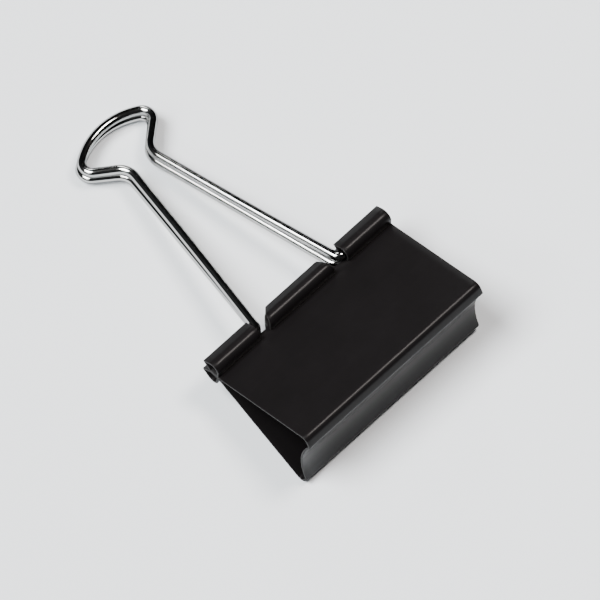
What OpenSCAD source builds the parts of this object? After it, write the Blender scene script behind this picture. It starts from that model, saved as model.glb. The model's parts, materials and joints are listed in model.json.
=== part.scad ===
// Large binder clip: one folded spring-steel body with rolled hinge knuckles,
// and two sprung-in wire handles. It lies on a table, on its lower back bend and
// on the end of the lower handle. X runs along the jaws, Y from the back to the
// handle loops, Z up. The origin is on the table, under the middle of the clip.

/* [Body] */
// Width of the body along the jaws
body_w = 51; // [46:0.5:56]
// Depth of the body from the lip fold to the back ridges
body_depth = 31.2; // [28:0.1:36]
// Height of the body over the two back bends
body_h = 22.4; // [21:0.1:25]
// Thickness of the spring steel
sheet_t = 0.5; // [0.4:0.05:0.6]
// Gap left between the closed jaws
jaw_gap = 0.12; // [0.1:0.02:0.3]

/* [Back] */
// Height from ridge to ridge, across the hollow of the back
ridge_span = 17.6; // [16:0.1:18]
// Depth of the hollow along the back
hollow_depth = 1.75; // [1:0.05:2.5]
// Outer radius of the bend between a plate and the back
bend_r = 1.3; // [1:0.05:1.6]
// Outer radius of a ridge
ridge_r = 0.9; // [0.8:0.05:1]
// Lean of the narrow bevel between a bend and its ridge
bevel_lean = 27; // [20:1:30]

/* [Lips] */
// Distance from the fold to where the jaws part
land_end = 3.9; // [3.7:0.1:4.3]
// Radius of the bend where a plate leaves the flat land
land_r = 4; // [3:0.1:6]
// Outer radius of the folded lip
fold_r = 0.65; // [0.65:0.01:0.7]
// Height of the fold's centre above the jaw face
fold_h = 1.5; // [1.45:0.05:1.6]
// Outer radius where the lip flares out of the land
flare_r = 0.9; // [0.85:0.05:1]
// Half width of the middle lip along its fold
lip_front = 6.4; // [5.5:0.1:7]
// Half width of the middle lip behind its clipped corners
lip_side = 7.7; // [7.4:0.1:8]
// Half width of the middle lip at its root
lip_root = 9.6; // [9:0.1:10]

/* [Knuckles] */
// Distance from the fold back to the handle's pivot
pivot_back = 2.5; // [2.4:0.05:2.6]
// Distance from the middle to a knuckle's inner end
knuckle_in = 12.75; // [12.7:0.05:15]
// Lean of the knuckle's closing flap
flap_lean = 4; // [0:1:12]
// Clear air under the closing flap's edge
flap_air = 0.08; // [0.05:0.01:0.15]
// Depth of the notches from the fold
notch_depth = 3.2; // [3:0.1:3.5]
// Radius in the corners of a notch
notch_r = 0.8; // [0.5:0.1:1]

/* [Handles] */
// Diameter of the wire
wire_d = 2; // [1.8:0.02:2.04]
// Running clearance around the wire in its knuckle
wire_play = 0.1; // [0.06:0.01:0.1]
// Dip of the resting handles below the middle plane of the body
handle_dip = 10.3; // [9.5:0.1:12]
// Distance from the pivot to the end of the loop, at the wire's centre
handle_len = 59.6; // [56:0.1:64]
// Half distance between the pins' outer ends
pin_out = 24.4; // [22:0.1:24.6]
// Bend radius between a pin and its leg
pin_bend_r = 1.2; // [1.2:0.1:1.4]
// Half width of the neck
neck_x = 3.4; // [3.3:0.1:4]
// Distance from the loop's end back to the neck
neck_back = 12.9; // [12.8:0.1:13.4]
// Bend radius of the neck
neck_r = 4.2; // [3:0.1:5]
// Half width of the loop
loop_x = 9.6; // [9:0.1:10]
// Bend radius at the loop's corners
corner_r = 2.5; // [2:0.1:3]
// Radius of the loop's end
end_r = 15; // [13:0.1:16]

/* [Hidden] */
$fn = 64;

enamel = [0.11, 0.105, 0.108];
enamel_back = [0.22, 0.23, 0.24];
nickel = [0.78, 0.79, 0.79];

// Air between the rolled tube and the plate, and how far cutting shapes run past an edge
roll_air = 0.02;
past_edge = 1;

// Turn directions of the circles along a route
turn_left = 1;
turn_right = -1;

// Straight runs of sheet reach this far into the bends beside them, and the bends are
// thinner by this much a side, so that the pieces of one sheet fuse cleanly.
sheet_lap = 0.02;
sheet_shave = 0.002;
hollow_lap = 0.1;

// Runs of wire stop this far short of a bend, inside a collar that joins the two.
seam_gap = 0.03;
seam_turn = 0.2;
collar_half = 0.15;
collar_rise = 0.03;

// A route is a list of circles [x, y, radius, turn]. A circle's centre is on the
// left of the way travelled, or on its right, and straight runs join the circles.
function centre(c) = [c[0], c[1]];
function unit(a) = [cos(a), sin(a)];
function between(c1, c2) =
    let (d = centre(c2) - centre(c1))
    atan2(d[1], d[0]) - asin((c2[3] * c2[2] - c1[3] * c1[2]) / norm(d));
function on_circle(c, way) = centre(c) - c[3] * c[2] * unit(way + 90);

// The section through the body is drawn as [distance from the fold, height above
// the middle plane], for the upper half. Radii are at the middle of the sheet.
half_t = sheet_t / 2;
face_h = jaw_gap / 2;
wire_r = wire_d / 2;
bore_r = wire_r + wire_play;
pivot_h = face_h + sheet_t + bore_r + roll_air;
tube = [pivot_back, pivot_h, bore_r + half_t, turn_left];
fold = [fold_r, face_h + fold_h, fold_r - half_t, turn_left];
flare_x = fold_r + (fold_h - flare_r) + (flare_r - fold_r) * sqrt(2);
flare = [flare_x, face_h + flare_r, flare_r - half_t, turn_left];
land = [land_end, face_h + land_r, land_r - half_t, turn_left];

ridge = [body_depth - ridge_r, ridge_span / 2, ridge_r - half_t, turn_right];
bend_h = body_h / 2 - bend_r;
bend_back = ridge[0] - (bend_r - ridge_r + (bend_h - ridge[1]) * sin(bevel_lean)) / cos(bevel_lean);
bend = [bend_back, bend_h, bend_r - half_t, turn_right];

// The hollow is one arc that touches both ridges and is deepest in the middle.
hollow_in = body_depth - hollow_depth - ridge[0];
hollow_r = (pow(ridge[1], 2) + pow(hollow_in, 2) - pow(ridge_r, 2)) / (2 * (ridge_r - hollow_in));
hollow = [body_depth - hollow_depth + hollow_r, 0, hollow_r + half_t, turn_left];

way_up_flap = 90 + flap_lean;
way_down_lip = 360 + between(tube, fold);
way_to_land = 360 + between(fold, flare);
way_up_plate = between(land, bend);
way_down_bevel = between(bend, ridge);
way_into_hollow = -90 - asin(ridge[1] / (hollow_r + ridge_r));

// The flap reaches down to just above the plate.
flap_top = on_circle(tube, way_up_flap);
flap_foot = face_h + sheet_t + flap_air + half_t * sin(flap_lean);
flap_len = (flap_top[1] - flap_foot) / cos(flap_lean);

// The handle's shape lies in its own plane: [distance aside, distance from pivot].
pin_run = 0.1;
pin_bend = [knuckle_in + pin_run, pin_bend_r, pin_bend_r, turn_right];
neck = [neck_x + neck_r, handle_len - neck_back, neck_r, turn_right];
end_centre = handle_len - end_r;
corner_x = loop_x - corner_r;
corner_s = end_centre + sqrt(pow(end_r - corner_r, 2) - pow(corner_x, 2));
corner = [corner_x, corner_s, corner_r, turn_left];
loop_end = [0, end_centre, end_r, turn_left];
way_of_pin = 180;
way_at_corner_end = 90 + atan2(corner_s - end_centre, corner_x);

// The clip leans a little, until both the lower bend and the lower handle's end
// touch the table. These points are [distance towards the loops, height].
low_bend = [-bend[0], -bend_h];
low_end = [handle_len * cos(handle_dip) - pivot_back, -pivot_h - handle_len * sin(handle_dip)];
low_line = low_end - low_bend;
lean = asin((wire_r - bend_r) / norm(low_line)) - atan2(low_line[1], low_line[0]);
function leaned(p) = [p[0] * cos(lean) - p[1] * sin(lean), p[0] * sin(lean) + p[1] * cos(lean)];
front_y = leaned(low_end)[0] + wire_r;
back_y = leaned([-ridge[0], ridge[1]])[0] - ridge_r;
rest_y = -(front_y + back_y) / 2;
rest_z = bend_r - leaned(low_bend)[1];

// One straight run of sheet, or one bend of sheet around a circle
module sheet_run(p, way, length) {
    translate(p) rotate(way) translate([0, -half_t]) square([length, sheet_t]);
}

// A straight run between two bends, lapping into one or both of them
module sheet_link(c1, c2, lap1 = sheet_lap, lap2 = sheet_lap) {
    way = between(c1, c2);
    p = on_circle(c1, way);
    length = norm(on_circle(c2, way) - p);
    sheet_run(p - lap1 * unit(way), way, length + lap1 + lap2);
}

module wedge(a, b, size) {
    middle = (a + b) / 2;
    polygon([[0, 0], size * unit(a), 2 * size * unit(middle), size * unit(b)]);
}

module sheet_bend(c, way_in, way_out) {
    a = min(way_in - c[3] * 90, way_out - c[3] * 90);
    b = max(way_in - c[3] * 90, way_out - c[3] * 90);
    translate(centre(c)) intersection() {
        difference() {
            circle(r = c[2] + half_t - sheet_shave);
            circle(r = c[2] - half_t + sheet_shave);
        }
        wedge(a, b, 2 * (c[2] + sheet_t));
    }
}

// Section of the rolled knuckle: flap, tube, folded lip and flare
module roll_section() {
    sheet_run(flap_top - flap_len * unit(way_up_flap), way_up_flap, flap_len + sheet_lap);
    sheet_bend(tube, way_up_flap, way_down_lip);
    sheet_link(tube, fold);
    sheet_bend(fold, way_down_lip, way_to_land);
    sheet_link(fold, flare);
    sheet_bend(flare, way_to_land, 360);
}

// Section of a side plate: flat land, plate and the bend into the back
module plate_section() {
    sheet_link(flare, land, 0, sheet_lap);
    sheet_bend(land, 0, way_up_plate);
    sheet_link(land, bend);
    sheet_bend(bend, way_up_plate, way_down_bevel);
}

// Section of the back's upper half: bevel, ridge and hollow
module back_section() {
    sheet_link(bend, ridge, 0, sheet_lap);
    sheet_bend(ridge, way_down_bevel, way_into_hollow);
}

// The hollow between the ridges, one arc that laps into both of them
module hollow_section() {
    a = way_into_hollow + 270 - hollow_lap;
    translate(centre(hollow)) intersection() {
        difference() {
            circle(r = hollow_r + sheet_t);
            circle(r = hollow_r);
        }
        wedge(a, 360 - a, 2 * hollow_r);
    }
}

// Pulls a section out along the jaws, between two distances from the middle
module along_jaw(x1, x2) {
    translate([x1, 0, 0]) rotate([90, 0, 90]) linear_extrude(x2 - x1) children();
}

module in_place() {
    translate([0, rest_y, rest_z]) rotate([lean, 0, 0]) children();
}

// The upper or the lower half of the body
module half(upper) {
    in_place() mirror([0, 1, 0]) mirror([0, 0, upper ? 0 : 1]) children();
}

// Plan of one notch, open at the fold and round in its two corners
module notch_plan() {
    floor_y = notch_depth - notch_r;
    polygon([
        [lip_side, -past_edge], [knuckle_in, -past_edge], [knuckle_in, floor_y],
        [knuckle_in - notch_r, floor_y], [knuckle_in - notch_r, notch_depth],
        [lip_root + notch_r, notch_depth], [lip_root + notch_r, floor_y], [lip_root, floor_y]
    ]);
    translate([knuckle_in - notch_r, floor_y]) circle(r = notch_r);
    translate([lip_root + notch_r, floor_y]) circle(r = notch_r);
}

module side_plate() {
    difference() {
        along_jaw(-body_w / 2, body_w / 2) plate_section();
        for (side = [0, 1]) mirror([side, 0, 0]) linear_extrude(face_h + 2 * sheet_t) notch_plan();
    }
}

module knuckle(side) {
    mirror([side > 0 ? 0 : 1, 0, 0]) along_jaw(knuckle_in, body_w / 2) roll_section();
}

// The middle lip is rolled like the knuckles, and its ends slant
module middle_lip() {
    lip_back = land_end + past_edge;
    corner_back = 0.35; // the clipped corner's length along the lip
    root_slope = (lip_root - lip_side) / (notch_depth - corner_back);
    wide = lip_side + root_slope * (lip_back - corner_back);
    intersection() {
        along_jaw(-wide, wide) roll_section();
        linear_extrude(pivot_h + 2 * bore_r) polygon([
            [-lip_front, -past_edge], [lip_front, -past_edge], [lip_front, 0], [lip_side, corner_back],
            [wide, lip_back], [-wide, lip_back], [-lip_side, corner_back], [-lip_front, 0]
        ]);
    }
}

module rod(p, q, r = wire_r) {
    d = q - p;
    way = atan2(d[1], d[0]);
    translate([p[0], p[1], 0]) rotate([0, 90, way]) cylinder(r = r, h = norm(d));
}

module elbow(c, way_in, way_out) {
    a = min(way_in - c[3] * 90, way_out - c[3] * 90);
    turn = abs(way_out - way_in);
    translate([c[0], c[1], 0]) rotate(a)
        rotate_extrude(angle = turn) translate([c[2], 0]) circle(r = wire_r);
}

// The shallow collar that joins two runs of wire where they meet
module collar(p, way) {
    rod(p - collar_half * unit(way), p + collar_half * unit(way), wire_r + collar_rise);
}

module wire_link(c1, c2) {
    way = between(c1, c2);
    p = on_circle(c1, way);
    q = on_circle(c2, way);
    rod(p + seam_gap * unit(way), q - seam_gap * unit(way));
    collar(p, way);
    collar(q, way);
}

module half_handle() {
    leg_way = between(pin_bend, neck);
    flare_way = between(neck, corner);
    rod([pin_out, 0], on_circle(pin_bend, way_of_pin) + [seam_gap, 0]);
    collar(on_circle(pin_bend, way_of_pin), way_of_pin);
    elbow(pin_bend, way_of_pin, leg_way);
    wire_link(pin_bend, neck);
    elbow(neck, leg_way, flare_way);
    wire_link(neck, corner);
    elbow(corner, flare_way, way_at_corner_end);
    collar(on_circle(corner, way_at_corner_end), way_at_corner_end);
}

module wire_handle() {
    half_handle();
    mirror([1, 0, 0]) half_handle();
    elbow(loop_end, way_at_corner_end + seam_turn, 360 - way_at_corner_end - seam_turn);
}

module handle(upper) {
    in_place()
        translate([0, -pivot_back, upper ? pivot_h : -pivot_h])
        rotate([-handle_dip, 0, 0]) wire_handle();
}

module lower_plate() {
    color(enamel) half(false) side_plate();
}

module lower_left_knuckle() {
    color(enamel) half(false) knuckle(-1);
}

module lower_right_knuckle() {
    color(enamel) half(false) knuckle(1);
}

module lower_lip() {
    color(enamel) half(false) middle_lip();
}

module back_strip() {
    color(enamel_back) half(true) along_jaw(-body_w / 2, body_w / 2) {
        back_section();
        mirror([0, 1]) back_section();
        hollow_section();
    }
}

module upper_plate() {
    color(enamel) half(true) side_plate();
}

module upper_left_knuckle() {
    color(enamel) half(true) knuckle(-1);
}

module upper_right_knuckle() {
    color(enamel) half(true) knuckle(1);
}

module upper_lip() {
    color(enamel) half(true) middle_lip();
}

module lower_handle() {
    color(nickel) handle(false);
}

module upper_handle() {
    color(nickel) handle(true);
}

lower_plate();
lower_left_knuckle();
lower_right_knuckle();
lower_lip();
back_strip();
upper_plate();
upper_left_knuckle();
upper_right_knuckle();
upper_lip();
lower_handle();
upper_handle();
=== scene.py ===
import json
import math

import bmesh
import bpy
from mathutils import Matrix, Vector


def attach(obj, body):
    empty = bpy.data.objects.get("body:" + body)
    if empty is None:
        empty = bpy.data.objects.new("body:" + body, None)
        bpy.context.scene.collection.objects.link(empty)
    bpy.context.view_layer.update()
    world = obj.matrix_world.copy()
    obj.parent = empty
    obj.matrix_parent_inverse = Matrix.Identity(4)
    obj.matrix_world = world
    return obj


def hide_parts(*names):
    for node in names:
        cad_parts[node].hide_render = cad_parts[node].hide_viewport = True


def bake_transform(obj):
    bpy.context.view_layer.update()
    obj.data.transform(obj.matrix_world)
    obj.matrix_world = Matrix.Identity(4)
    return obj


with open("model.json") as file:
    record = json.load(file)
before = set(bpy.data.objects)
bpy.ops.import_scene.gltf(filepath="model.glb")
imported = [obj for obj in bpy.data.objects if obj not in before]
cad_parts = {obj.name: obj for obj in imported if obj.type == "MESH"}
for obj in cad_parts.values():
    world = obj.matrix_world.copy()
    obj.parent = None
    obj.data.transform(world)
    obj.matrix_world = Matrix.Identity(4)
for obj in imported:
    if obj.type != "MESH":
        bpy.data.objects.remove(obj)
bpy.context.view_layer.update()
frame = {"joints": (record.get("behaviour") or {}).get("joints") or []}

# A binder clip: the folded sheet is drawn as two continuous halves, and the two handles are
# swept wire. Sizes are in millimetres in the clip's own section, and the helpers turn them
# into metres in the row frame.

MM = 0.001

# ---------------------------------------------------------------- sizes, in mm

BODY_W = 51.0
BODY_DEPTH = 31.2
BODY_H = 22.4
SHEET = 0.5
JAW_GAP = 0.12

# The back: a ridge above and below the hollow, a bevel and the bend to the plate
RIDGE_SPAN = 17.6
RIDGE_R = 0.9
HOLLOW_DEPTH = 1.75
BEND_R = 1.5
BEVEL_LEAN = 27.0

# The front: the land where the jaws meet, the flare, the fold and the rolled lip
LAND_END = 3.9
LAND_R = 4.0
FLARE_R = 0.8
FOLD_R = 0.5
FOLD_H = 2.0
CURL_R = 1.2
CURL_BACK, CURL_UP = 2.55, 2.25
CURL_WAY = -87.0
CURL_AIR = 0.06
KNUCKLE_OUT = 0.25

# The notches between the rolled lips. The middle lip's clipped ends are given as
# pairs: how far back, and how far out from the clip's middle.
NOTCH_DEPTH = 3.2
NOTCH_R = 0.9
KNUCKLE_IN = 12.75
NOTCH_LEFT = 13.05
NOTCH_RIGHT = 12.75
LIP_ROOT = 9.6
LIP_EASE = 0.8
LIP_LEFT = ((-1.0, 6.1), (0.02, 6.1), (0.35, 7.9), (2.4, 9.5), (6.0, 10.6))
LIP_RIGHT = ((-1.0, 6.7), (0.02, 6.7), (0.35, 7.4), (2.4, 8.1), (6.0, 9.6))

# How finely the sheet is divided, and how its cut edges are softened
KNUCKLE_COLUMNS, NOTCH_COLUMNS, LIP_COLUMNS = 8, 2, 16
CORNER_TURNS = (0, 20, 40, 60, 75, 90)
SAME_ROW = 1e-4
EDGE_SOFT = 0.07
RIM_FAR = 9.0

# The wire of the handles
PIVOT_BACK = 2.5
WIRE_R = 1.0
WIRE_SIDES = 40
WIRE_END_R, WIRE_END_STEPS = 0.22, 4
PIN_OUT = 24.4
ELBOW_OUT = KNUCKLE_IN + 0.1
HANDLE_DIP = 10.3
NECK_X, NECK_S, NECK_R = 3.4, 46.7, 4.2
LOOP_X, CORNER_R, END_R = 9.6, 2.5, 15.0

# Bent wire is never quite even. Each handle has its own reach, elbow radius, how far it
# sits aside in its knuckles, how far it trails aside at the loop, and the bow of its legs.
UPPER_WIRE = {"reach": 59.6, "elbow": 1.2, "sit": -0.35, "trail": -0.05, "bow": 0.15}
LOWER_WIRE = {"reach": 59.8, "elbow": 1.8, "sit": -0.30, "trail": -0.30, "bow": 0.0}

# -------------------------------------------------------- where the clip stands

joint = {j["name"]: j for j in frame["joints"]}
pivot_up = Vector(joint["upper_handle_swing"]["pos_m"])
pivot_low = Vector(joint["lower_handle_swing"]["pos_m"])
across = pivot_up - pivot_low
LEAN = math.atan2(-across.y, across.z)
PIVOT_H = across.length / 2 / MM
TURN = Matrix.Rotation(LEAN, 4, "X")
ORIGIN = (pivot_up + pivot_low) / 2 + TURN @ Vector((0, PIVOT_BACK * MM, 0))
STANCE = Matrix.Translation(ORIGIN) @ TURN


def at(x, back, rise):
    """A point in mm across, back from the fold and up from the jaws, in the row frame."""
    return STANCE @ Vector((x * MM, -back * MM, rise * MM))


# ------------------------------------------------------------------------ paths

LEFT, RIGHT = 1, -1


def unit(degrees):
    a = math.radians(degrees)
    return Vector((math.cos(a), math.sin(a)))


def between(c1, c2):
    """The way, in degrees, of the straight run that leaves circle c1 and joins circle c2."""
    d = Vector(c2[:2]) - Vector(c1[:2])
    side = (c2[3] * c2[2] - c1[3] * c1[2]) / d.length
    return math.degrees(math.atan2(d.y, d.x) - math.asin(max(-1.0, min(1.0, side))))


def on_circle(c, way):
    """The point of circle c (x, y, radius, LEFT or RIGHT) where the path heads this way."""
    return Vector(c[:2]) - c[3] * c[2] * unit(way + 90)


class Path:
    """Points along a route of circles joined by straight runs: (distance, point, way)."""

    SAME_POINT = 1e-5
    NO_TURN = 359.9

    def __init__(self, way, step_deg, step_mm):
        self.way = way
        self.step_deg, self.step_mm = step_deg, step_mm
        self.rows = []

    def add(self, point, way):
        far = 0.0
        if self.rows:
            far = self.rows[-1][0] + (point - self.rows[-1][1]).length
            if far - self.rows[-1][0] < self.SAME_POINT:
                return
        self.rows.append((far, point.copy(), way))

    def run(self, a, b):
        n = max(1, math.ceil((b - a).length / self.step_mm))
        for i in range(n + 1):
            self.add(a.lerp(b, i / n), self.way)

    def turn(self, c, way_out):
        swing = (c[3] * (way_out - self.way)) % 360
        if swing > self.NO_TURN:
            swing = 0.0
        n = max(1, math.ceil(swing / self.step_deg))
        start = self.way
        for i in range(n + 1):
            way = start + c[3] * swing * i / n
            self.add(on_circle(c, way), way)
        self.way = start + c[3] * swing

    def follow(self, circles, last_way):
        for c, after in zip(circles, circles[1:]):
            self.turn(c, between(c, after))
            self.run(on_circle(c, self.way), on_circle(after, self.way))
        self.turn(circles[-1], last_way)


# The upper half's section, along the sheet's middle surface, from the middle of the
# back to the end of the rolled lip
half = SHEET / 2
face = JAW_GAP / 2
ridge_back = BODY_DEPTH - RIDGE_R
ridge_rise = RIDGE_SPAN / 2
hollow_in = BODY_DEPTH - HOLLOW_DEPTH - ridge_back
hollow_r = (ridge_rise**2 + hollow_in**2 - RIDGE_R**2) / (2 * (RIDGE_R - hollow_in))
bevel = math.radians(BEVEL_LEAN)
bend_rise = BODY_H / 2 - BEND_R
bevel_in = BEND_R - RIDGE_R + (bend_rise - ridge_rise) * math.sin(bevel)
bend_back = ridge_back - bevel_in / math.cos(bevel)
flare_back = FOLD_R + (FOLD_H - FLARE_R) + (FLARE_R - FOLD_R) * math.sqrt(2)
section = Path(90.0, step_deg=6.0, step_mm=1.5)
section.follow(
    [
        (BODY_DEPTH - HOLLOW_DEPTH + hollow_r, 0.0, hollow_r + half, RIGHT),
        (ridge_back, ridge_rise, RIDGE_R - half, LEFT),
        (bend_back, bend_rise, BEND_R - half, LEFT),
        (LAND_END, face + LAND_R, LAND_R - half, RIGHT),
        (flare_back, face + FLARE_R, FLARE_R - half, RIGHT),
        (FOLD_R, face + FOLD_H, FOLD_R - half, RIGHT),
        (CURL_BACK, CURL_UP, CURL_R + half, RIGHT),
    ],
    CURL_WAY,
)
foot = section.rows[-1][1]
drop = foot.y - (face + SHEET + CURL_AIR)
section.run(foot, foot + unit(CURL_WAY) * drop)

# -------------------------------------------------------------------- the sheet


def floor_distance(rows):
    """How far along the section the notches' floor is."""
    for (f1, p1, _), (f2, p2, _) in zip(rows, rows[1:]):
        if p1.x > NOTCH_DEPTH >= p2.x:
            return f1 + (p1.x - NOTCH_DEPTH) / (p1.x - p2.x) * (f2 - f1)


def row_at(rows, far):
    """The section's row at this distance."""
    for (f1, p1, w1), (f2, p2, w2) in zip(rows, rows[1:]):
        if f1 <= far <= f2:
            t = (far - f1) / (f2 - f1)
            return (far, p1.lerp(p2, t), w1 + (w2 - w1) * t)
    return rows[-1]


def spread(a, b, n):
    return [a + (b - a) * i / n for i in range(n + 1)]


# The section's rows, with the notches' floor and its rounded corners put in exactly
floor_far = floor_distance(section.rows)
corners_far = [floor_far + NOTCH_R * (1 - math.cos(math.radians(a))) for a in CORNER_TURNS]
fars = sorted([row[0] for row in section.rows] + corners_far)
fars = [f for i, f in enumerate(fars) if i == 0 or f - fars[i - 1] > SAME_ROW]
stations = [row_at(section.rows, far) for far in fars]
floor_row = min(range(len(fars)), key=lambda i: abs(fars[i] - floor_far))

# The plate's columns, and which of them go on into the left, middle and right lips
wide = BODY_W / 2
floor_in = LIP_ROOT + NOTCH_R
floor_left, floor_right = NOTCH_LEFT - NOTCH_R, NOTCH_RIGHT - NOTCH_R
plate_columns = (
    spread(-wide, -floor_left, KNUCKLE_COLUMNS)[:-1]
    + spread(-floor_left, -floor_in, NOTCH_COLUMNS)[:-1]
    + spread(-floor_in, floor_in, LIP_COLUMNS)[:-1]
    + spread(floor_in, floor_right, NOTCH_COLUMNS)[:-1]
    + spread(floor_right, wide, KNUCKLE_COLUMNS)
)
lip_first = KNUCKLE_COLUMNS + NOTCH_COLUMNS
lip_last = lip_first + LIP_COLUMNS
tab_starts = (0, lip_first, lip_last + NOTCH_COLUMNS)


def notch_bite(far):
    """How far the notch's rounded corner reaches into the notch at this distance."""
    d = far - floor_far
    if d >= NOTCH_R:
        return 0.0
    return NOTCH_R - math.sqrt(max(0.0, NOTCH_R**2 - (NOTCH_R - d) ** 2))


def lip_width(table, back):
    for (b1, w1), (b2, w2) in zip(table, table[1:]):
        if back <= b2:
            return w1 + (w2 - w1) * max(0.0, back - b1) / (b2 - b1)
    return table[-1][1]


def tab_columns(station):
    """Where the columns of the left, middle and right lips are in this row."""
    far, p, _ = station
    bite = notch_bite(far)
    ease = max(0.0, min(1.0, (far - floor_far - NOTCH_R) / LIP_EASE))
    left, right = (
        LIP_ROOT + bite + (lip_width(table, p.x) - LIP_ROOT) * ease
        for table in (LIP_LEFT, LIP_RIGHT)
    )
    return (
        spread(-wide, bite - NOTCH_LEFT, KNUCKLE_COLUMNS),
        spread(-left, right, LIP_COLUMNS),
        spread(NOTCH_RIGHT - bite, wide, KNUCKLE_COLUMNS),
    )


def row_places(i):
    """The points of row i: (column, x, how far its front stands forward)."""
    if i <= floor_row:
        return [(k, x, 0.0) for k, x in enumerate(plate_columns)]
    tabs = zip(tab_starts, tab_columns(stations[i]), (KNUCKLE_OUT, 0.0, KNUCKLE_OUT))
    return [(start + k, x, out) for start, xs, out in tabs for k, x in enumerate(xs)]


def mesh_object(name, bm):
    mesh = bpy.data.meshes.new(name)
    bm.to_mesh(mesh)
    bm.free()
    obj = bpy.data.objects.new(name, mesh)
    bpy.context.scene.collection.objects.link(obj)
    return obj


def settle(obj):
    """Applies the object's modifiers to its mesh."""
    graph = bpy.context.evaluated_depsgraph_get()
    made = bpy.data.meshes.new_from_object(
        obj.evaluated_get(graph), preserve_all_data_layers=True, depsgraph=graph
    )
    obj.modifiers.clear()
    old = obj.data
    obj.data = made
    made.name = old.name + "_made"
    bpy.data.meshes.remove(old)


def sheet_half(name, up):
    """One half of the folded sheet, built row by row along the section."""
    sign = 1 if up else -1
    bm = bmesh.new()
    rim = bm.verts.layers.float.new("rim")
    # The place of each point on the unfolded sheet: across, along, and which skin
    flat = bm.verts.layers.float_vector.new("flat")

    def vertex(station, x, side, out):
        far, p, way = station
        q = p + unit(way - 90) * half * side
        q.x -= out * max(0.0, 1 - q.x / PIVOT_BACK)
        v = bm.verts.new(at(x, q.x, sign * q.y))
        v[flat] = Vector((x, far, side))
        return v

    grid = {}
    for i, station in enumerate(stations):
        places = row_places(i)
        for side in (1, -1):
            row = [None] * len(plate_columns)
            for k, x, out in places:
                row[k] = vertex(station, x, side, out)
            grid[i, side] = row
    for i in range(len(stations) - 1):
        for k in range(len(plate_columns) - 1):
            corners = [(i, k), (i, k + 1), (i + 1, k + 1), (i + 1, k)]
            for side in (1, -1):
                quad = [grid[r, side][c] for r, c in corners]
                if None in quad:
                    continue
                if (side > 0) == up:
                    quad.reverse()
                bm.faces.new(quad)

    # Side walls join the two skins at the outer skin's free edges, but not at the
    # middle of the back, where the two halves meet.
    pair = {}
    for i in range(len(stations)):
        for a, b in zip(grid[i, 1], grid[i, -1]):
            if a is not None:
                pair[a] = b
    rims = [
        e
        for e in bm.edges
        if len(e.link_faces) == 1
        and all(v in pair for v in e.verts)
        and any(v[flat].y >= 1e-6 for v in e.verts)
    ]
    walls = []
    for e in rims:
        loop = next(l for l in e.link_faces[0].loops if l.edge == e)
        a, b = loop.vert, loop.link_loop_next.vert
        walls.append(bm.faces.new([b, a, pair[a], pair[b]]))
    for f in bm.faces:
        f.smooth = True
        f.material_index = 0
    for f in walls:
        f.material_index = 1
    bm.normal_update()

    # How far each point is from the nearest cut edge, for the worn paint there
    segments = [[Vector(v[flat][:2]) for v in e.verts] for e in rims]
    for v in bm.verts:
        p = Vector(v[flat][:2])
        best = RIM_FAR
        for a, b in segments:
            d = b - a
            t = max(0.0, min(1.0, (p - a).dot(d) / max(d.length_squared, 1e-12)))
            best = min(best, (a + d * t - p).length)
        v[rim] = best

    obj = mesh_object(name, bm)
    soften = obj.modifiers.new("edge", "BEVEL")
    soften.width = EDGE_SOFT * MM
    soften.segments = 2
    soften.limit_method = "ANGLE"
    soften.angle_limit = math.radians(55)
    soften.use_clamp_overlap = True
    soften.harden_normals = False
    settle(obj)
    obj.data.set_sharp_from_angle(angle=math.radians(40))
    return obj


# ------------------------------------------------------------------ the handles


def sprung(p, shape):
    """A point of the even handle, moved to where this handle's uneven wire has it."""
    aside = shape["sit"] + shape["trail"] * max(0.0, p.y / shape["reach"]) ** 3
    bow = shape["bow"] * math.sin(math.pi * min(max(p.y / NECK_S, 0.0), 1.0))
    return Vector((p.x + aside - math.copysign(bow, p.x), p.y))


def handle_points(shape):
    """The wire's middle line, from the right pin round the loop to the left pin."""
    end = (0.0, shape["reach"] - END_R, END_R, LEFT)
    corner_x = LOOP_X - CORNER_R
    corner_s = end[1] + math.sqrt((END_R - CORNER_R) ** 2 - corner_x**2)
    elbow = (ELBOW_OUT, shape["elbow"], shape["elbow"], RIGHT)
    neck = (NECK_X + NECK_R, NECK_S, NECK_R, RIGHT)
    corner = (corner_x, corner_s, CORNER_R, LEFT)
    end_way = 90 + math.degrees(math.atan2(corner_s - end[1], corner_x))
    path = Path(180.0, step_deg=4.0, step_mm=2.0)
    path.run(Vector((PIN_OUT, 0.0)), on_circle(elbow, 180.0))
    path.follow([elbow, neck, corner], end_way)
    path.turn(end, 180.0)
    right = [p for _, p, _ in path.rows]
    left = [Vector((-p.x, p.y)) for p in reversed(right[:-1])]
    return [sprung(p, shape) for p in right + left]


def wire_rings(points):
    """The rings of the wire: distance along it, centre, way and radius."""
    far = 0.0
    rings = []
    for i, p in enumerate(points):
        before, after = points[max(i - 1, 0)], points[min(i + 1, len(points) - 1)]
        if i:
            far += (p - points[i - 1]).length
        rings.append((far, p, (after - before).normalized(), WIRE_R))
    # The cut ends are rounded: how far in from the end, and the radius there
    ends = []
    for k in range(WIRE_END_STEPS + 1):
        a = math.radians(90 * k / WIRE_END_STEPS)
        ends.append((WIRE_END_R * (1 - math.cos(a)), WIRE_R - WIRE_END_R * (1 - math.sin(a))))
    (far_0, p_0, along_0, _), (far_1, p_1, along_1, _) = rings[0], rings[-1]
    head = [(far_0 + d, p_0 + along_0 * d, along_0, r) for d, r in ends]
    tail = [(far_1 - d, p_1 - along_1 * d, along_1, r) for d, r in reversed(ends)]
    return head + rings[1:-1] + tail


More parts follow.
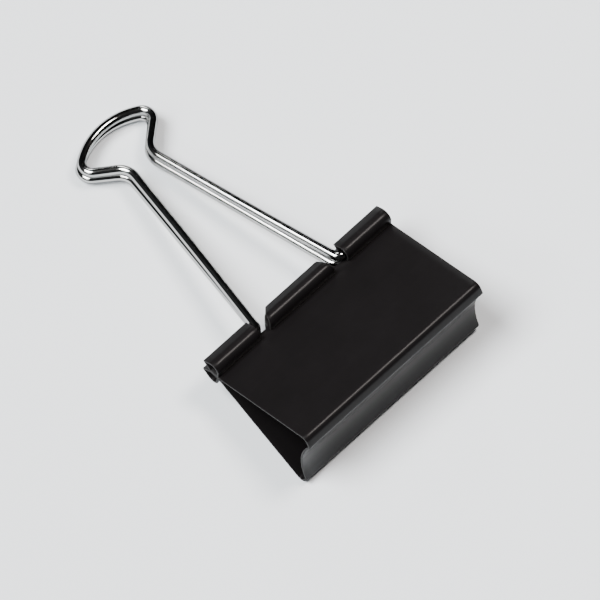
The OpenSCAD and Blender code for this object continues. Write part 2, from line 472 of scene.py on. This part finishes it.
def wire(name, up):
    """A handle: wire swept along its route."""
    specs = wire_rings(handle_points(UPPER_WIRE if up else LOWER_WIRE))
    place = (
        STANCE
        @ Matrix.Translation(Vector((0, -PIVOT_BACK * MM, (PIVOT_H if up else -PIVOT_H) * MM)))
        @ Matrix.Rotation(math.radians(-HANDLE_DIP), 4, "X")
    )
    bm = bmesh.new()
    uv = bm.loops.layers.uv.new("wire")
    rings = []
    for _, p, along, r in specs:
        aside = Vector((-along.y, along.x))
        ring = []
        for j in range(WIRE_SIDES):
            a = 2 * math.pi * j / WIRE_SIDES
            q = p + aside * r * math.cos(a)
            spot = Vector((q.x * MM, q.y * MM, r * math.sin(a) * MM))
            ring.append(bm.verts.new(place @ spot))
        rings.append(ring)
    for i in range(len(rings) - 1):
        for j in range(WIRE_SIDES):
            k = (j + 1) % WIRE_SIDES
            f = bm.faces.new([rings[i][j], rings[i + 1][j], rings[i + 1][k], rings[i][k]])
            f.smooth = True
            spots = ((j, i), (j, i + 1), (j + 1, i + 1), (j + 1, i))
            for loop, (c, row) in zip(f.loops, spots):
                loop[uv].uv = (c / WIRE_SIDES * 2 * math.pi * WIRE_R, specs[row][0])
    for ring in (rings[0], rings[-1][::-1]):
        cap = bm.faces.new(ring)
        for loop in cap.loops:
            loop[uv].uv = (loop.vert.co.y / MM, loop.vert.co.z / MM)
    bmesh.ops.recalc_face_normals(bm, faces=bm.faces[:])
    obj = mesh_object(name, bm)
    obj.data.set_sharp_from_angle(angle=math.radians(50))
    return obj


# -------------------------------------------------------------------- materials
# Colours are linear. The scale of a noise on object coordinates is per metre, that of
# one on the wire's own map is per mm, and a bump's distance is in metres.


class Nodes:
    """A short hand for building a material's nodes."""

    def __init__(self, name):
        self.material = bpy.data.materials.new(name)
        self.material.use_nodes = True
        self.tree = self.material.node_tree
        self.tree.nodes.clear()
        self.shader = self.new("ShaderNodeBsdfPrincipled")
        out = self.new("ShaderNodeOutputMaterial")
        self.link(self.shader.outputs[0], out.inputs[0])

    def new(self, kind):
        return self.tree.nodes.new(kind)

    def link(self, a, b):
        self.tree.links.new(a, b)

    def surface(self, **values):
        """Sets the shader's inputs to links or constants."""
        for key, value in values.items():
            socket = self.shader.inputs[key.replace("_", " ")]
            if isinstance(value, bpy.types.NodeSocket):
                self.link(value, socket)
            else:
                socket.default_value = value

    def scaled(self, source, scale):
        m = self.new("ShaderNodeMapping")
        m.inputs["Scale"].default_value = scale
        self.link(source, m.inputs["Vector"])
        return m.outputs[0]

    def noise(self, vector, scale, detail, rough=0.55):
        n = self.new("ShaderNodeTexNoise")
        n.inputs["Scale"].default_value = scale
        n.inputs["Detail"].default_value = detail
        n.inputs["Roughness"].default_value = rough
        self.link(vector, n.inputs["Vector"])
        return n.outputs["Fac"]

    def ramp(self, source, a, b, low, high):
        n = self.new("ShaderNodeMapRange")
        n.inputs["From Min"].default_value = a
        n.inputs["From Max"].default_value = b
        n.inputs["To Min"].default_value = low
        n.inputs["To Max"].default_value = high
        self.link(source, n.inputs["Value"])
        return n.outputs["Result"]

    def math(self, op, a, b):
        n = self.new("ShaderNodeMath")
        n.operation = op
        for i, value in enumerate((a, b)):
            if isinstance(value, (int, float)):
                n.inputs[i].default_value = value
            else:
                self.link(value, n.inputs[i])
        return n.outputs[0]

    def mix(self, fac, a, b):
        n = self.new("ShaderNodeMix")
        n.data_type = "RGBA"
        self.link(fac, n.inputs[0])
        for i, value in ((6, a), (7, b)):
            if isinstance(value, tuple):
                n.inputs[i].default_value = (*value, 1.0)
            else:
                self.link(value, n.inputs[i])
        return n.outputs[2]

    def bump(self, height, strength, distance, under=None):
        n = self.new("ShaderNodeBump")
        n.inputs["Strength"].default_value = strength
        n.inputs["Distance"].default_value = distance
        self.link(height, n.inputs["Height"])
        if under is not None:
            self.link(under, n.inputs["Normal"])
        return n.outputs[0]


def enamel_material():
    """Black enamel: clouded, with faint scuffs, worn and rough close to the cut edges."""
    dark, light = (0.0050, 0.0045, 0.0047), (0.0060, 0.0054, 0.0057)
    scuffed, bare = (0.016, 0.0150, 0.0155), (0.016, 0.0155, 0.0155)
    m = Nodes("black_enamel")
    spot = m.new("ShaderNodeTexCoord").outputs["Object"]
    rim = m.new("ShaderNodeAttribute")
    rim.attribute_name = "rim"
    to_edge = rim.outputs["Fac"]
    peel = m.noise(spot, 900.0, 2.0)
    grain = m.noise(spot, 4200.0, 2.0)
    cloud = m.noise(spot, 90.0, 4.0)
    chips = m.noise(spot, 1300.0, 3.0)
    scuff = m.noise(m.scaled(spot, (60.0, 900.0, 900.0)), 1.0, 5.0, 0.7)
    scuffs = m.ramp(scuff, 0.55, 0.90, 0.0, 1.0)
    base = m.mix(m.ramp(cloud, 0.3, 0.7, 0.0, 1.0), dark, light)
    base = m.mix(m.math("MULTIPLY", scuffs, 0.15), base, scuffed)
    near = m.ramp(to_edge, 0.0, 0.28, 1.0, 0.0)
    worn = m.math("ADD", near, m.math("MULTIPLY", chips, 0.5))
    base = m.mix(m.ramp(worn, 0.95, 1.25, 0.0, 1.0), base, bare)
    rough = m.ramp(cloud, 0.2, 0.8, 0.28, 0.31)
    rough = m.math("MAXIMUM", rough, m.ramp(to_edge, 0.0, 0.12, 0.6, 0.2))
    relief = m.bump(grain, 0.18, 0.000008, m.bump(peel, 0.22, 0.00003))
    m.surface(Base_Color=base, Roughness=rough, Specular_IOR_Level=0.17, IOR=1.36, Normal=relief)
    return m.material


def edge_material():
    """The sheared edge of the sheet, dull under its thin paint."""
    dark, light = (0.004, 0.004, 0.0042), (0.010, 0.0097, 0.0095)
    m = Nodes("cut_edge")
    spot = m.new("ShaderNodeTexCoord").outputs["Object"]
    shear = m.noise(m.scaled(spot, (700.0, 700.0, 4200.0)), 1.0, 3.0)
    cloud = m.noise(spot, 420.0, 4.0)
    base = m.mix(m.ramp(cloud, 0.38, 0.66, 0.0, 1.0), dark, light)
    rough = m.ramp(shear, 0.3, 0.7, 0.50, 0.68)
    relief = m.bump(shear, 0.35, 0.00002)
    m.surface(Base_Color=base, Roughness=rough, Specular_IOR_Level=0.0, Normal=relief)
    return m.material


def nickel_material():
    """Bright nickel on drawn wire: fine lines along it, a haze and a few dark pits."""
    bright, hazed, pitted = (0.50, 0.50, 0.49), (0.42, 0.425, 0.42), (0.22, 0.21, 0.20)
    m = Nodes("bright_nickel")
    spot = m.new("ShaderNodeTexCoord").outputs["Object"]
    along = m.new("ShaderNodeUVMap")
    along.uv_map = "wire"
    drawn = m.noise(m.scaled(along.outputs[0], (9.0, 0.16, 1.0)), 1.0, 5.0, 0.65)
    fine = m.noise(m.scaled(along.outputs[0], (42.0, 0.5, 1.0)), 1.0, 3.0, 0.6)
    haze = m.noise(spot, 160.0, 4.0)
    pits = m.noise(spot, 2600.0, 2.0)
    base = m.mix(m.ramp(haze, 0.35, 0.7, 0.0, 1.0), bright, hazed)
    base = m.mix(m.math("MULTIPLY", m.ramp(pits, 0.70, 0.78, 0.0, 1.0), 0.5), base, pitted)
    uneven = m.math("ADD", m.math("MULTIPLY", drawn, 0.7), m.math("MULTIPLY", haze, 0.3))
    rough = m.ramp(uneven, 0.3, 0.7, 0.06, 0.14)
    relief = m.bump(fine, 0.10, 0.000006, m.bump(drawn, 0.16, 0.00002))
    m.surface(Base_Color=base, Metallic=1.0, Roughness=rough, Normal=relief)
    m.surface(Specular_Tint=(0.12, 0.12, 0.125, 1.0))
    return m.material


def floor_material():
    """A pale floor with a slight cool tint."""
    m = Nodes("pale_floor")
    spot = m.new("ShaderNodeTexCoord").outputs["Object"]
    base = m.mix(m.noise(spot, 6.0, 3.0), (0.81, 0.85, 0.88), (0.85, 0.89, 0.92))
    m.surface(Base_Color=base, Roughness=0.75, Specular_IOR_Level=0.2)
    return m.material


enamel, cut_edge, nickel = enamel_material(), edge_material(), nickel_material()

# ------------------------------------------------------------------- the pieces

UPPER_SHEET = (
    "upper_plate",
    "upper_left_knuckle",
    "upper_right_knuckle",
    "upper_lip",
    "back_strip",
)
LOWER_SHEET = ("lower_plate", "lower_left_knuckle", "lower_right_knuckle", "lower_lip")

for name, up, jaw, nodes in (
    ("sheet_upper", True, "upper_jaw", UPPER_SHEET),
    ("sheet_lower", False, "lower_jaw", LOWER_SHEET),
):
    piece = sheet_half(name, up)
    piece.data.materials.clear()
    piece.data.materials.append(enamel)
    piece.data.materials.append(cut_edge)
    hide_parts(*nodes)
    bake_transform(piece)

for name, up, node in (("wire_upper", True, "upper_handle"), ("wire_lower", False, "lower_handle")):
    piece = wire(name, up)
    piece.data.materials.append(nickel)
    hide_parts(node)
    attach(piece, node)

# ---------------------------------------------------------- the floor and the sky

FLOOR_SIZE = 6.0
SKY_COLOUR = (0.93, 0.96, 1.0, 1.0)

bpy.ops.mesh.primitive_plane_add(size=FLOOR_SIZE, location=(0, 0, 0))
floor = bpy.context.object
floor.name = "floor"
floor.data.materials.append(floor_material())

world = bpy.data.worlds.new("studio")
bpy.context.scene.world = world
world.use_nodes = True
sky = world.node_tree
backdrop = sky.nodes["Background"]
backdrop.inputs[0].default_value = SKY_COLOUR


def sky_range(source, interpolation, from_min, from_max, to_min, to_max):
    n = sky.nodes.new("ShaderNodeMapRange")
    n.interpolation_type = interpolation
    for key, value in (
        ("From Min", from_min),
        ("From Max", from_max),
        ("To Min", to_min),
        ("To Max", to_max),
    ):
        n.inputs[key].default_value = value
    sky.links.new(source, n.inputs["Value"])
    return n.outputs[0]


# A low glow round the horizon under a dark sky, brighter to the left of the clip (-X)
# than to its right
look = sky.nodes.new("ShaderNodeTexCoord").outputs["Generated"]
parts = sky.nodes.new("ShaderNodeSeparateXYZ")
sky.links.new(look, parts.inputs[0])
facing = sky.nodes.new("ShaderNodeVectorMath")
facing.operation = "DOT_PRODUCT"
facing.inputs[1].default_value = (-1.0, 0.0, 0.0)
sky.links.new(look, facing.inputs[0])
glow = sky.nodes.new("ShaderNodeMath")
glow.operation = "MULTIPLY"
sky.links.new(sky_range(parts.outputs["Z"], "SMOOTHSTEP", 0.0, 0.15, 1.7, 0.03), glow.inputs[0])
sky.links.new(sky_range(facing.outputs["Value"], "LINEAR", -0.3, 0.5, 0.12, 1.0), glow.inputs[1])
sky.links.new(glow.outputs[0], backdrop.inputs[1])

# ------------------------------------------------------------------- the camera

AZIMUTH, ELEVATION, ROLL = -46.8, 66.25, 2.47
VIEW_WIDTH = 126.103 * MM
AIM_RIGHT, AIM_DOWN = 1.982 * MM, 2.6145 * MM
CAMERA_FAR = 3.0
SENSOR = 36.0

a, e, r = (math.radians(v) for v in (AZIMUTH, ELEVATION, ROLL))
back = Vector((math.sin(a) * math.cos(e), -math.cos(a) * math.cos(e), math.sin(e)))
level = Vector((math.cos(a), math.sin(a), 0))
right = level * math.cos(r) + back.cross(level) * math.sin(r)
above = back.cross(right)
target = at(0, 0, 0) + right * AIM_RIGHT - above * AIM_DOWN
data = bpy.data.cameras.new("camera")
data.type = "PERSP"
data.sensor_width = SENSOR
data.lens = SENSOR * CAMERA_FAR / VIEW_WIDTH
data.clip_start, data.clip_end = 0.05, 20.0
camera = bpy.data.objects.new("camera", data)
bpy.context.scene.collection.objects.link(camera)
turned = Matrix((right, above, back)).transposed().to_4x4()
camera.matrix_world = Matrix.Translation(target + back * CAMERA_FAR) @ turned
bpy.context.scene.camera = camera

# ------------------------------------------------------------------- the lights

CLIP_MIDDLE = Vector((0, 0, 0.01))
LIGHT_FAR = 0.95


def aimed(lamp, place, aim):
    bpy.context.scene.collection.objects.link(lamp)
    lamp.location = place
    lamp.rotation_mode = "QUATERNION"
    lamp.rotation_quaternion = (Vector(aim) - Vector(place)).to_track_quat("-Z", "Y")


def soft_sun(name, place, degrees, strength):
    data = bpy.data.lights.new(name, "SUN")
    data.energy = strength
    data.angle = math.radians(degrees)
    aimed(bpy.data.objects.new(name, data), place, (0, 0, 0))


def soft_light(name, place, size, energy, colour=(1.0, 1.0, 1.0)):
    data = bpy.data.lights.new(name, "AREA")
    data.shape = "RECTANGLE"
    data.size, data.size_y = size
    data.energy = energy
    data.color = colour
    aimed(bpy.data.objects.new(name, data), place, CLIP_MIDDLE)


def far_off(direction):
    return CLIP_MIDDLE + Vector(direction).normalized() * LIGHT_FAR


soft_sun("key", (-0.38, 0.24, 0.88), degrees=26.0, strength=6.4)
soft_light("softbox", far_off((-0.74, 0.12, 0.67)), size=(0.50, 0.16), energy=2.5)
# The ridge light draws the bright lines along the back's ridge and the bend.
ridge_place = far_off((0.294, -0.12, 0.95))
soft_light("ridge", ridge_place, size=(0.20, 0.26), energy=8.2, colour=(1.0, 0.93, 0.89))
soft_light("end", (0.55, 0.75, 0.55), size=(0.10, 0.45), energy=1.2)

bpy.context.view_layer.update()
